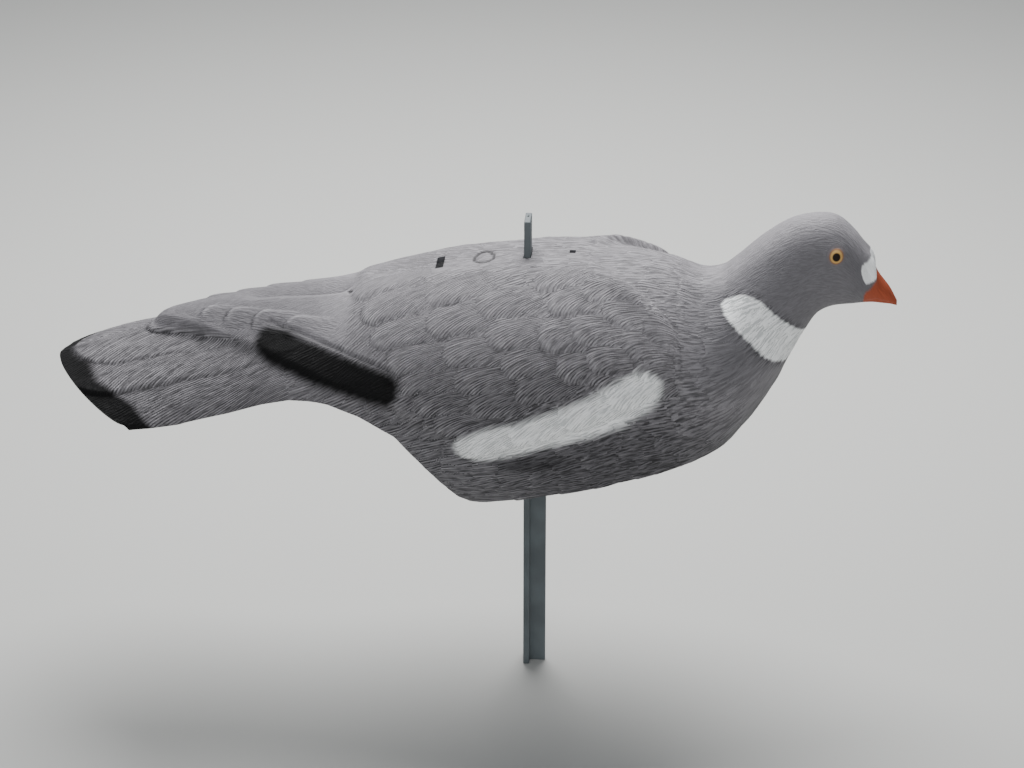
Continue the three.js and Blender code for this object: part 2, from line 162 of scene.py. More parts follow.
# Feathers with a step round the tip: p and a of the tip, length, half width, turn in degrees and height.
TAIL_FEATHERS = [(7, 1, 130, 24.3, 0, 0.9), (-6, 25, 146, 20, -3.5, 1.0), (-12, 60, 140, 34, -2, 0.6)]
LOWEST_FLIGHT = [(48, -0.5, 66, 7, 22, 1.3)]
FLIGHT_FEATHERS = [
    (75, 9.2, 24, 7.2, 10, 1.25), (88, 13, 26, 7.4, 12, 1.35), (102.5, 17.2, 28, 7.4, 14, 1.4),
    (119, 22.8, 28, 7.2, 18, 1.15),
]
COVERTS = [
    (152, 13, 40, 7, -10, 0.68), (158, 27, 40, 8, -4, 0.83), (164.5, 41, 38, 7, 2, 0.83),
    (172.5, 54, 38, 7, 6, 0.83), (179, 64, 36, 6.5, 8, 0.75), (186, 75, 34, 6.5, 8, 0.6),
    (196, 87, 34, 6, 6, 0.52), (189, 26, 34, 8, -8, 0.68), (190, 41, 34, 7.5, -2, 0.75),
    (199, 55, 32, 7, 4, 0.68), (205, 68, 32, 7, 5, 0.6), (212, 80, 30, 7, 0, 0.6),
    (214, 35, 32, 7.5, -4, 0.6), (219, 49, 32, 7.5, 2, 0.75), (227, 63, 30, 7, 2, 0.68),
    (233, 76, 30, 7, -6, 0.6),
]
SHOULDER_FEATHERS = [
    (240, 25, 30, 7, -8, 0.48), (247, 36, 28, 8, -4, 0.72), (243, 52, 30, 8, 0, 0.88),
    (252, 66, 28, 7.5, 0, 0.8), (262, 30, 28, 7, -2, 0.56), (258, 48, 26, 8, 6, 0.88),
    (266, 60, 26, 8, 8, 0.88), (270, 72, 24, 7, -4, 0.64), (272, 38, 26, 7, 10, 0.64),
    (281, 51, 24, 8, 12, 0.8), (286, 62, 20, 7, 0, 0.64), (290, 42, 18, 7, 20, 0.56),
]
WHITE_BAR_COVERTS = [
    (205.5, 101, 46, 8.5, -10, 1.3), (231, 97, 42, 7.5, -15, 0.9), (254, 90, 40, 7.5, -20, 0.8),
    (276, 80, 34, 7, -28, 0.7),
]
# How each kind lies: the share of its height that its lower edge gains over its middle, the width of its
# step, the degrees between barbs and shaft, and how loose the barbs are.
LIE = [
    (TAIL_FEATHERS, 1.0, 3.0, 27, 0.25),
    (LOWEST_FLIGHT, 1.1, 2.0, 8, 0.3),
    (FLIGHT_FEATHERS, -0.75, 2.6, -7, 0.2),
    (COVERTS, 0.6, 4.0, 40, 0.35),
    (SHOULDER_FEATHERS, 0.5, 4.0, 52, 0.45),
    (WHITE_BAR_COVERTS, 0.35, 3.0, 34, 0.4),
]
BARB_MIDDLE = 0.85  # the barbs' turn at the feather's middle, as a share of that angle
RAGGED_SCALE = 0.6
# Streaks of the plumage where no feather is drawn: p, a and their slope in degrees.
FLOW = [
    (10, 10, 20), (10, 50, 18), (60, 15, 22), (60, 55, 17), (110, 45, 14), (110, 75, 12), (140, 75, 10),
    (150, 100, 8), (175, 8, 24), (175, 35, 34), (175, 90, 12), (210, 8, 12), (210, 35, 32), (210, 65, 36),
    (215, 118, 3), (245, 8, 2), (245, 40, 38), (245, 75, 32), (250, 118, 16), (280, 8, -4), (280, 45, 42),
    (285, 90, 30), (290, 115, 30), (305, 10, 12), (310, 30, 12), (318, 50, 20), (310, 75, 30),
    (310, 100, 38), (335, 8, 4), (340, 25, -10), (335, 60, 40), (335, 85, 50), (365, 8, 0), (360, 30, -10),
    (360, 50, 0), (365, 65, 12), (395, 10, -4), (395, 40, 5),
]
FLOW_REACH = 16
# What the carving's nodes are given. Barb fan is how much more the barbs turn at a feather's lower edge,
# Tuft spacing is along and across the bird, and Tuft edge is how far the tufts' edges wander.
CARVING = {
    "Barb fan": 0.45, "Ragged tips": 5.0, "Tuft spacing": (13.0, 6.5, 1.0), "Tuft height": 0.4,
    "Tuft edge": 0.6, "Lump size": 17.0, "Lump height": 2.0, "Strand length": 10.0, "Strand width": 2.6,
    "Strand height": 0.45, "Seed": float(SEED),
}
# Rows and columns of tufts, the share of their spacing that they stray, how their streaks stray in degrees,
# and the least share of the height that a tuft has.
TUFTS = dict(rows=(-1, 36), columns=(-21, 22), stray=0.38, turn=9, least=0.4)
TUFT_EDGE_SCALE = 160.0
TUFTS_HIDDEN = (0.4, 0.75)  # under a feather of this height this share of a tuft is hidden
# How loose and tufted the plumage is along the bird: p, looseness, tufts.
LOOSENESS = np.array([
    [0, 0.25, 0.05], [110, 0.3, 0.1], [150, 0.35, 0.3], [175, 0.4, 0.6], [230, 0.45, 0.9], [300, 0.6, 1],
    [325, 0.8, 0.75], [350, 1, 0.4], [400, 1, 0.15], [420, 1, 0], [445, 1, 0],
])
TUFTED_GIRTH = (10, 26)  # the middle of the back is not tufted
FINE_PLUMAGE = (300, 350)  # where the strokes turn fine, on the way to the head
# The folded flight feathers, whose strokes are fine too.
FLIGHTS = [(46, -6), (48, 5), (60, 11), (80, 18), (100, 25), (125, 32), (152, 40), (154, -6)]
FINE_FLIGHTS = 0.9
STRANDS_ON_FINE = 0.15  # the share of the strands' height that is left where the strokes are fine
# Neighbours' patterns are this far apart, and a pattern drifts with the girth, so that no two are alike.
FEATHER_OFFSET = 17.0
TUFT_OFFSET = 13.0
PATTERN_DRIFT = 0.04
LOWEST_TOP = 0.02  # a feather lower than this leaves a face's strokes as they were
PIT_BLUR = 5  # rounds of smoothing, against which pits are measured

# Paint. Colours are the 0 to 255 values that a screen shows.

WHITE_BAR = [
    (206, 100), (206.5, 97.8), (208.8, 95.8), (215.5, 93.3), (221.3, 92.2), (234, 91), (247, 87.5),
    (255, 85), (263.5, 81.7), (272, 76.7), (280, 70.8), (286, 66.7), (291.8, 64.2), (296.8, 64.6),
    (299.8, 67.5), (299.8, 72.5), (297.7, 77.5), (292.7, 83.3), (284.3, 90), (276, 95.5), (267.7, 99),
    (259.3, 101.7), (251, 104), (242.7, 105.8), (234, 107.5), (225.5, 108.5), (217, 108.3), (210.5, 105.8),
    (207.2, 103.3),
]
BLACK_BAR = [
    (104.5, 27), (107, 23), (111, 21.3), (117, 23), (123, 25.7), (129, 30.6), (134, 34), (140, 37.6),
    (147, 42.1), (155, 47.6), (163, 52.6), (171, 57.6), (177, 61.2), (179, 66), (178, 71.5), (173, 74.5),
    (163, 70), (154.7, 65), (146, 60), (138, 56), (133, 53), (126.7, 48.5), (120, 44.3), (113, 40),
    (107, 34.5), (104.5, 30),
]
COLLAR = [
    (326.5, 23), (328.5, 21), (333, 21.8), (338, 24.6), (341.5, 28), (344.5, 31.5), (346.5, 35), (349, 41),
    (352, 47.5), (354.5, 54), (357, 62), (360, 90), (348, 90), (345, 74), (342, 65), (338, 55), (335, 45),
    (331, 36.5), (327.5, 29),
]
TAIL_BAND = [
    (-20, -20), (6, -20), (7.5, 0), (9, 8), (11.5, 13.5), (15, 17.5), (14.3, 22), (13.5, 28), (13, 34),
    (16, 38), (18.3, 44.3), (21.7, 48.3), (23.7, 52), (23.7, 55), (22, 66), (16, 90), (-20, 90),
]
# A painted shadow on the belly under the wing's lower front edge.
SHADED_BELLY = [(226, 112), (240, 110.5), (254, 111.5), (260, 114), (250, 117), (232, 116.5)]
CERE_PATCH = [
    (415, -2), (413.5, 4), (410.5, 9.5), (407.5, 13.5), (405, 17), (404.5, 20), (406, 22.3), (408, 22.8),
    (412, 19), (416, 14), (419.5, 9), (421.5, 4), (422, -2),
]
BEAK = [
    (424, -9), (423.5, 1), (421.5, 6.5), (417.5, 13.5), (412.5, 21.5), (408, 27.5), (405.5, 33), (404, 48),
    (460, 48), (460, -9),
]
PATCHES = dict(white_bar=WHITE_BAR, black_bar=BLACK_BAR, collar=COLLAR, tail_band=TAIL_BAND,
               cere=CERE_PATCH, beak=BEAK, shaded_belly=SHADED_BELLY)

BODY_GREY = (141, 138, 142)
GRAIN_LIGHTER = 9
SPECKLE_LIGHTER = 16
# Painted light and shade on the lower side, a touch lighter at the belly's rear and darkest on the lower
# breast, and painted shade on the side of the neck.
BELLY_GREY = (143, 141, 145)
BREAST_SHADE_GREY = (111, 109, 113)
NECK_SHADE_GREY = (121, 119, 123)
# A painted highlight on the raised rims.
RIM_LIGHT = (196, 192, 196)
BLACK = (9, 8, 10)
WHITE = (254, 255, 255)
WHITE_GROOVE = (150, 155, 156)
# Painted shade laid over the colour in the grooves, in the pits and in the moulded marks, and the flight
# feathers' darker tone.
GROOVE_SHADOW = (40, 39, 42)
PIT_SHADOW = (70, 69, 73)
FLIGHTS_SHADE = (216, 216, 217)
MARK_SHADOW = (60, 59, 62)
# How much painted shade a groove gets everywhere, and how much more on the side and the tail.
GROOVE_SHADOW_STRENGTH = (0.62, 0.25)
# Where the painted shade and the tones change along p, and down the side along a.
BELLY_ALONG, BELLY_DOWN, BREAST_ALONG = (120, 175), (62, 108), (200, 275)
NECK_ALONG, NECK_DOWN, NECK_FOOT = (300, 330), (4, 20), (80, 50)
TAIL_ALONG, FLIGHTS_ALONG, SIDE_DOWN = (150, 100), (160, 120), (40, 80)
# Sprayed patches, among them the painted shadow under the wing: colour, softness of the edge and how far it
# follows the streaks.
DARK_SPRAYS = [
    ("shaded_belly", (66, 65, 68), 5.0, 8.0), ("black_bar", BLACK, 2.8, 4.0), ("tail_band", BLACK, 3.4, 5.0),
    ("beak", (176, 84, 56), 0.9, 1.0),
]
WHITE_SPRAYS = [("white_bar", 2.6, 4.0), ("collar", 0.8, 1.8), ("cere", 0.6, 1.0)]
# The eye's rings from outside in: radius and colour.
EYE_RINGS = [
    (EYE_LID[0] + 0.6, (112, 106, 109)), (EYE_BALL[0] + 0.1, (140, 104, 76)),
    (EYE_BALL[0] - 0.5, (198, 158, 96)), (PUPIL, (30, 18, 12)),
]
EYE_NARROWER = 1.08
EYE_RING_BLUR = 0.3

BARB_SPACING = 1.45
BARB_DEPTH = 0.4
# Length and width of the streaks in which the paint comes and goes, of loose plumage and of fine plumage.
PULSE = (14, 1.5)
LOOSE_STREAK = (6.0, 0.95)
FINE_STREAK = (4, 0.55)
STREAK_WANDER = (12, 0.4, 1.1)  # size, how far streaks wander, and how much farther in loose plumage
GRAIN_SIZE = 28
SPECKLE_SCALE = 1.3
INSIDE_GREY = (88, 88, 92)
STAKE_GREY = (80, 87, 90)
STAKE_SCRATCHES = (1, 1, 0.08)  # drawn out along the stake
MOTTLE_SCALE, MOTTLE_LIGHTER = 60.0, 1.35
SCRATCH_SCALE, SCRATCH_DEPTH = 900.0, 0.06


def paint(colour, lighter=0):
    """The colour of a paint from the values that a screen shows, made lighter by so many steps."""
    shares = ((np.array(colour) + lighter) / 255).tolist()
    linear = [s / 12.92 if s <= 0.04045 else ((s + 0.055) / 1.055) ** 2.4 for s in shares]
    return (*linear, 1)


# Working out the form.


def smoothstep(low, high, x):
    t = np.clip((x - low) / (high - low), 0, 1)
    return t * t * (3 - 2 * t)


def sections_at(s):
    """The sections at shares s of the way from tail to beak, on a smooth curve through the table."""
    last = len(SECTIONS) - 1
    index = np.minimum((s * last).astype(int), last - 1)
    t = (s * last - index)[..., None]
    before = np.vstack([2 * SECTIONS[0] - SECTIONS[1], SECTIONS, 2 * SECTIONS[-1] - SECTIONS[-2]])
    a, b, c, d = (before[index + k] for k in range(4))
    square, cube = 2 * a - 5 * b + 4 * c - d, 3 * b - a - 3 * c + d
    return 0.5 * (2 * b + (c - a) * t + square * t ** 2 + cube * t ** 3)


def form_points(s, angle):
    """Points of the smooth form: angle 0 is the middle of the back and pi the middle of the belly."""
    back_x, back_z, belly_x, belly_z, half_width, widest, above = np.moveaxis(sections_at(s), -1, 0)
    middle_x = back_x + (belly_x - back_x) * widest
    middle_z = back_z + (belly_z - back_z) * widest
    upper = np.cos(angle) >= 0
    power = 2 / np.where(upper, above, 2)
    rise = np.abs(np.cos(angle)) ** power
    side = np.sign(angle) * np.abs(np.sin(angle)) ** power
    # Towards its sides the tail's end is drawn forwards.
    share = np.maximum(0, 1 - s * (len(SECTIONS) - 1) / TAIL_ROUND_SECTIONS)
    rest = np.maximum(-0.5, np.cos(angle))
    drawn = TAIL_ROUND * share * (1 - rest) * (1 + rest / 2)
    x = middle_x + (np.where(upper, back_x, belly_x) - middle_x) * rise + drawn
    z = middle_z + (np.where(upper, back_z, belly_z) - middle_z) * rise + TAIL_SLOPE * drawn
    return np.stack([x, half_width * side, z], -1)


def form_normals(s, angle):
    step, turn = 1e-3, 0.02
    ends = np.abs(angle) > np.pi - turn
    angle = np.clip(angle, turn - np.pi, np.pi - turn)
    along = form_points(np.minimum(s + step, 1), angle) - form_points(np.maximum(s - step, 0), angle)
    across = form_points(s, angle + turn) - form_points(s, angle - turn)
    normal = np.cross(along, across)
    # The two halves meet on the middle of the belly, where the surface is level across.
    normal[..., 1] = np.where(ends, 0, normal[..., 1])
    return normal / np.maximum(np.linalg.norm(normal, axis=-1, keepdims=True), 1e-12)


def bisect(low, high, test):
    """Where test turns true between low and high, for arrays of both."""
    for _ in range(40):
        middle = (low + high) / 2
        true = test(middle)
        low, high = np.where(true, low, middle), np.where(true, middle, high)
    return high


def below_rim(points):
    return points[..., 2] < np.interp(points[..., 0], RIM[:, 0], RIM[:, 1])


def inside_distance(outline, p, a):
    """Distance in from a closed outline, negative outside it."""
    nearest = np.full(p.shape, np.inf)
    inside = np.zeros(p.shape, bool)
    for (x0, y0), (x1, y1) in zip(outline, outline[1:] + outline[:1]):
        nearest = np.minimum(nearest, distance_to_line([(x0, y0), (x1, y1)], p, a))
        if y0 != y1:
            inside ^= ((y0 > a) != (y1 > a)) & (p < x0 + (x1 - x0) * (a - y0) / (y1 - y0))
    return np.where(inside, nearest, -nearest)


def distance_to_line(points, p, a):
    nearest = np.full(p.shape, np.inf)
    for (x0, y0), (x1, y1) in zip(points, points[1:]):
        dx, dy = x1 - x0, y1 - y0
        t = np.clip(((p - x0) * dx + (a - y0) * dy) / (dx * dx + dy * dy), 0, 1)
        nearest = np.minimum(nearest, np.hypot(p - x0 - t * dx, a - y0 - t * dy))
    return nearest


def broad_relief(p, a):
    """The wings' bodies, the hollow between them and the ridge of their flight feathers."""
    edge = WING_EDGE[0] + (WING_EDGE[1] - WING_EDGE[0]) * smoothstep(*WING_EDGE_ALONG, p)
    hollow = smoothstep(*BACK_HOLLOW["start"], p) * (1 - smoothstep(*BACK_HOLLOW["end"], p)) * (
        1 - smoothstep(0, BACK_HOLLOW["width"], a))
    wing = WING_HEIGHT * smoothstep(0, edge, inside_distance(WING_OUTLINE, p, a)) * (1 - hollow)
    height, half_width = (np.interp(p, FLIGHT_RIDGE[:, 0], FLIGHT_RIDGE[:, k]) for k in (1, 2))
    crease = np.minimum(a / half_width, 1) ** RIDGE_FALL
    blend = smoothstep(*RIDGE_BLEND, p)
    ridge = height * (1 - crease - blend * (smoothstep(0, half_width, a) - crease))
    gap = WING_GAP
    length = smoothstep(gap["start"], gap["start"] + gap["ramp"], p) * (
        1 - smoothstep(gap["end"] - gap["ramp"], gap["end"], p))
    share = np.interp(p, (gap["start"], gap["widest"]), (gap["least"], 1))
    cut = gap["depth"] * share * length * np.maximum(0, 1 - a / (gap["half_width"] * share))
    return wing + ridge - cut


def bead(distance, half_width, height):
    return height * (1 - smoothstep(0, half_width, distance))


def distance_from_eye(points):
    return np.hypot(points[..., 0] - EYE[0], points[..., 2] - EYE[1])


def face_relief(p, a, points):
    from_eye = distance_from_eye(points)
    ball = EYE_BALL[1] * np.sqrt(np.maximum(0, 1 - (from_eye / EYE_BALL[0]) ** 2))
    lid = bead(np.abs(from_eye - EYE_LID[0]), *EYE_LID[1:])
    cere = bead(np.hypot(p - CERE_SWELLING[0], a - CERE_SWELLING[1]), *CERE_SWELLING[2:])
    mouth = bead(distance_to_line(MOUTH_LINE, p, a), *MOUTH_CUT)
    return bead(from_eye, *EYE_SWELLING) + ball + lid + cere - mouth


def back_marks(p, a, points):
    x, y, size_x, size_y, half_width, depth = RING_MARK
    ring = np.hypot((points[..., 0] - x) / size_x, (points[..., 1] - y) / size_y) * 2
    from_ring = np.where(points[..., 2] > BACK_ABOVE, np.abs(ring - 1) * (size_x + size_y) / 4, FAR)
    from_nick = np.where(points[..., 1] < 0, distance_to_line(NICK, p, a), FAR)
    return -bead(from_ring, half_width, depth) - bead(from_nick, *NICK_CUT)


def fine_relief(p, a, points):
    rim, fade = SHOULDER_RIM
    step = smoothstep(-SHOULDER_STEP, SHOULDER_STEP, inside_distance(SHOULDER, p, a))
    shoulder = rim * smoothstep(*SHOULDER_START, p) * step * (
        1 - smoothstep(1, fade, distance_to_line(SHOULDER_LINE, p, a)))
    crease = bead(distance_to_line(WING_CREASE, p, a), *CREASE_CUT)
    return shoulder - crease + face_relief(p, a, points) + back_marks(p, a, points)


def streak_slope(p, a):
    """The slope of the streaks in degrees, from the table's nearest rows."""
    near = [np.exp(-((p - p0) ** 2 + (a - a0) ** 2) / (2 * FLOW_REACH ** 2)) + 1e-9 for p0, a0, _ in FLOW]
    return sum(weight * row[2] for weight, row in zip(near, FLOW)) / sum(near)


def shell_grid():
    """The outer and inner points of the shell with their places on the surface, row by row."""
    closing = float(bisect(*(np.array(share) for share in CLOSING_BETWEEN),
                           lambda s: ~below_rim(form_points(s, np.pi + 0 * s))))
    s = np.concatenate([closing * np.arange(OPEN_ROWS) / OPEN_ROWS,
                        closing + (1 - closing) * np.arange(CLOSED_ROWS + 1) / CLOSED_ROWS])
    reach = bisect(np.full(s.shape, np.pi * 0.3), np.full(s.shape, np.pi),
                   lambda angle: below_rim(form_points(s, angle)))
    reach[OPEN_ROWS:] = np.pi
    angle = reach[:, None] * np.linspace(-1, 1, COLUMNS + 1)
    s = np.broadcast_to(s[:, None], angle.shape)
    form = form_points(s, angle)
    normal = form_normals(s, angle)
    middle = COLUMNS // 2
    p = np.concatenate([[0], np.linalg.norm(np.diff(form[:, middle], axis=0), axis=1).cumsum()])
    p = np.broadcast_to(p[:, None], angle.shape)
    steps = np.linalg.norm(np.diff(form, axis=1), axis=2)
    half = np.concatenate([np.zeros((len(s), 1)), steps[:, middle:].cumsum(axis=1)], axis=1)
    a = np.concatenate([half[:, :0:-1], half], axis=1)
    outer = form + normal * (broad_relief(p, a) + fine_relief(p, a, form))[..., None]
    around = (-UNDERCUT, 0, UNDERCUT)
    near = [broad_relief(p + dp, np.abs(a + da)) for dp in around for da in around]
    inner = form + normal * (np.min(near, axis=0) - WALL)[..., None]
    return s, p, a, outer, inner, normal


# Node trees.


class Tree:
    """Adds nodes to a node tree. An input is given a number, a colour or another node's socket."""

    def __init__(self, tree):
        self.tree = tree

    def node(self, kind, settings=None, inputs=None):
        node = self.tree.nodes.new(kind)
        for name, value in (settings or {}).items():
            setattr(node, name, value)
        for name, value in (inputs or {}).items():
            self.put(node, name, value)
        return node

    def put(self, node, name, value):
        shown = [socket for socket in node.inputs if socket.enabled]
        socket = node.inputs[name] if isinstance(name, int) else next(s for s in shown if s.name == name)
        if isinstance(value, bpy.types.NodeSocket):
            self.tree.links.new(value, socket)
        else:
            socket.default_value = value

    def out(self, kind, settings=None, inputs=None):
        node = self.node(kind, settings, inputs)
        return next(socket for socket in node.outputs if socket.enabled)

    def math(self, operation, *values):
        return self.out("ShaderNodeMath", {"operation": operation}, dict(enumerate(values)))

    plus = partialmethod(math, "ADD")
    minus = partialmethod(math, "SUBTRACT")
    times = partialmethod(math, "MULTIPLY")
    times_plus = partialmethod(math, "MULTIPLY_ADD")
    over = partialmethod(math, "DIVIDE")
    larger = partialmethod(math, "MAXIMUM")

    def above(self, first, second):
        return self.out("FunctionNodeCompare", {"operation": "GREATER_THAN"}, {0: first, 1: second})

    def vector(self, operation, *values):
        node = self.node("ShaderNodeVectorMath", {"operation": operation}, dict(enumerate(values)))
        return node.outputs["Value" if operation in ("DOT_PRODUCT", "LENGTH") else "Vector"]

    def combine(self, x=0.0, y=0.0, z=0.0):
        return self.out("ShaderNodeCombineXYZ", None, {"X": x, "Y": y, "Z": z})

    def separate(self, vector):
        return self.node("ShaderNodeSeparateXYZ", None, {"Vector": vector}).outputs

    def span(self, x, low, high, start=0.0, end=1.0, shape="LINEAR"):
        return self.out("ShaderNodeMapRange", {"interpolation_type": shape},
                        {"Value": x, "From Min": low, "From Max": high, "To Min": start, "To Max": end})

    def smooth(self, x, low, high, start=0.0, end=1.0):
        return self.span(x, low, high, start, end, "SMOOTHSTEP")

    def noise(self, vector, scale=1.0, detail=1.0, seed=0.0):
        return self.out("ShaderNodeTexNoise", {"noise_dimensions": "4D"},
                        {"Vector": vector, "W": seed, "Scale": scale, "Detail": detail})

    def mixed(self, factor, first, second, blend="MIX"):
        node = self.node("ShaderNodeMix", {"data_type": "RGBA", "blend_type": blend},
                         {0: factor, 6: first, 7: second})
        return node.outputs[2]


# Carving the feathers.


def link(piece):
    bpy.context.scene.collection.objects.link(piece)


def store(mesh, name, values, domain="POINT"):
    """An attribute of vectors or numbers on the mesh, as node trees and materials read it."""
    kind, key = ("FLOAT_VECTOR", "vector") if values.ndim == 2 else ("FLOAT", "value")
    attribute = mesh.attributes.new(name, kind, domain)
    attribute.data.foreach_set(key, np.ascontiguousarray(values, np.float32).ravel())


def list_object(name, columns):
    """Loose points with vectors as attributes, for the node tree to read."""
    mesh = bpy.data.meshes.new(name)
    vectors = {key: np.stack(np.broadcast_arrays(*values), 1) for key, values in columns.items()}
    mesh.from_pydata(vectors.pop("points").tolist(), [], [])
    for key, values in vectors.items():
        store(mesh, key, values)
    return bpy.data.objects.new(name, mesh)


def feather_points():
    """Every feather of one side: place and height of the tip, the shaft's direction, size and barbs."""
    rows = [(*feather, *lie) for feathers, *lie in LIE for feather in feathers]
    p, a, length, half_width, turn, height, lift, edge, barb, loose = np.array(rows).T
    turn = np.radians(turn)
    return list_object("feather list", {
        "points": (p, a, height),
        "shaft": (np.cos(turn), np.sin(turn), 0),
        "size": (length, half_width, edge),
        "lie": (lift, np.radians(barb), 0),
        "finish": (FEATHER_OFFSET * np.arange(len(p)), loose, 0),
    })


def tuft_points():
    """Tufts all over the bird, at p and signed girth in steps of their spacing, and their streaks' slope."""
    chance = np.random.default_rng(SEED)
    p, a = np.meshgrid(*(np.arange(*TUFTS[key], dtype=float) for key in ("rows", "columns")), indexing="ij")
    a = a + 0.5 * (np.arange(len(p)) % 2)[:, None]
    p, a = (values.ravel() + TUFTS["stray"] * chance.uniform(-1, 1, values.size) for values in (p, a))
    step_p, step_a, _ = CARVING["Tuft spacing"]
    along, girth = p * step_p, a * step_a
    slope = streak_slope(along, np.abs(girth)) + TUFTS["turn"] * chance.uniform(-1, 1, p.size)
    slope = np.radians(slope)
    tufts, loose = (np.interp(along, LOOSENESS[:, 0], LOOSENESS[:, k]) for k in (2, 1))
    return list_object("tuft list", {
        "points": (p, a, 0),
        "shaft": (np.cos(slope), -np.sign(girth) * np.sin(slope), 0),
        "finish": (TUFT_OFFSET * np.arange(p.size), loose,
                   tufts * chance.uniform(TUFTS["least"], 1, p.size)),
    })


def carving_tree():
    """Geometry Nodes that lay tufts on the form and raise the feathers over them, tip over root.

    Each corner also gets its place in its own tuft or feather, in the attribute "barb": along and across
    the barbs, and how loose they are. "pit" is how far a point lies under its surroundings.
    """
    group = bpy.data.node_groups.new("feather carving", "GeometryNodeTree")
    kinds = {"Form": "Geometry", "Feathers": "Object", "Tufts": "Object", "Unit": "Float",
             "Inside": "Material", "Outside": "Material"}
    for name, value in CARVING.items():
        kinds[name] = "Vector" if isinstance(value, tuple) else "Float"
    for name, kind in kinds.items():
        group.interface.new_socket(name, in_out="INPUT", socket_type="NodeSocket" + kind)
    group.interface.new_socket("Shell", in_out="OUTPUT", socket_type="NodeSocketGeometry")
    tree = Tree(group)
    plus, minus, times, times_plus, over = tree.plus, tree.minus, tree.times, tree.times_plus, tree.over
    larger, vector, separate, combine = tree.larger, tree.vector, tree.separate, tree.combine
    given = tree.node("NodeGroupInput").outputs

    def attribute(name, kind="FLOAT_VECTOR"):
        return tree.out("GeometryNodeInputNamedAttribute", {"data_type": kind}, {"Name": name})

    def level(name):
        return attribute(name, "FLOAT")

    def keep(geometry, name, value, domain="POINT", kind="FLOAT"):
        return tree.out("GeometryNodeStoreNamedAttribute", {"data_type": kind, "domain": domain},
                        {"Geometry": geometry, "Name": name, "Value": value})

    def on_faces(value, kind):
        return tree.out("GeometryNodeFieldOnDomain", {"data_type": kind, "domain": "FACE"}, {"Value": value})

    def row_of(source, value, index):
        return tree.out("GeometryNodeSampleIndex", {"data_type": "FLOAT_VECTOR", "domain": "POINT"},
                        {"Geometry": source, "Value": value, "Index": index})

    def points_of(name):
        return tree.node("GeometryNodeObjectInfo", None, {"Object": given[name]}).outputs["Geometry"]

    def from_shaft(offset, shaft):
        """How far along a shaft an offset goes, and how far across it."""
        sideways = vector("CROSS_PRODUCT", (0, 0, 1), shaft)
        return vector("DOT_PRODUCT", offset, shaft), vector("DOT_PRODUCT", offset, sideways)

    position = tree.out("GeometryNodeInputPosition")
    surface_place = separate(attribute("place"))
    signed_place = combine(surface_place[0], surface_place[2])
    drift = times(surface_place[2], PATTERN_DRIFT)

    # The tufts: each point belongs to the nearest one, and rises towards that one's tip.
    tufts = points_of("Tufts")
    wander = tree.node("ShaderNodeTexNoise", {"noise_dimensions": "3D"},
                       {"Vector": position, "Scale": TUFT_EDGE_SCALE})
    wander = vector("SUBTRACT", wander.outputs["Color"], (0.5, 0.5, 0.5))
    wander = vector("MULTIPLY", wander, combine(given["Tuft edge"], given["Tuft edge"]))
    stretched = vector("ADD", vector("DIVIDE", signed_place, given["Tuft spacing"]), wander)
    nearest = tree.out("GeometryNodeSampleNearest", {"domain": "POINT"},
                       {"Geometry": tufts, "Sample Position": stretched})

    def in_tuft(index):
        """How far along and across its tuft each point lies, and the tuft's finish."""
        centre = vector("MULTIPLY", row_of(tufts, position, index), given["Tuft spacing"])
        shaft = row_of(tufts, attribute("shaft"), index)
        finish = separate(row_of(tufts, attribute("finish"), index))
        return *from_shaft(vector("SUBTRACT", signed_place, centre), shaft), finish

    along, across, finish = in_tuft(on_faces(nearest, "INT"))
    own_place = combine(plus(along, finish[0]), plus(across, finish[0]), finish[1])
    tufted = keep(given["Form"], "barb", own_place, "CORNER", "FLOAT_VECTOR")
    along, across, finish = in_tuft(nearest)
    slant = minus(0.5, over(along, separate(given["Tuft spacing"])[0]))
    tuft_rise = times(times(slant, finish[2]), given["Tuft height"])
    tufted = keep(tufted, "tuft rise", tuft_rise)

    # The feathers, one after the other.
    source = points_of("Feathers")
    count = tree.node("GeometryNodeAttributeDomainSize", None, {"Geometry": source}).outputs["Point Count"]
    start = tree.node("GeometryNodeRepeatInput")
    end = tree.node("GeometryNodeRepeatOutput")
    start.pair_with_output(end)
    tree.put(start, "Iterations", count)
    tree.put(start, "Geometry", tufted)

    def of_feather(value):
        return row_of(source, value, start.outputs["Iteration"])

    tip = of_feather(position)
    length, half_width, edge = separate(of_feather(attribute("size")))
    lift, angle, _ = separate(of_feather(attribute("lie")))
    number, loose, _ = separate(of_feather(attribute("finish")))
    place, middle = (vector("MULTIPLY", value, (1, 1, 0)) for value in (attribute("place"), tip))
    along, across = from_shaft(vector("SUBTRACT", place, middle), of_feather(attribute("shaft")))
    outward = over(across, half_width)
    # Along and across the barbs, which fan out from the shaft.
    angle = times(angle, times_plus(outward, given["Barb fan"], BARB_MIDDLE))
    sine, cosine = tree.math("SINE", angle), tree.math("COSINE", angle)
    over_barbs = plus(times(along, sine), times(across, cosine))
    with_barbs = minus(times(across, sine), times(along, cosine))
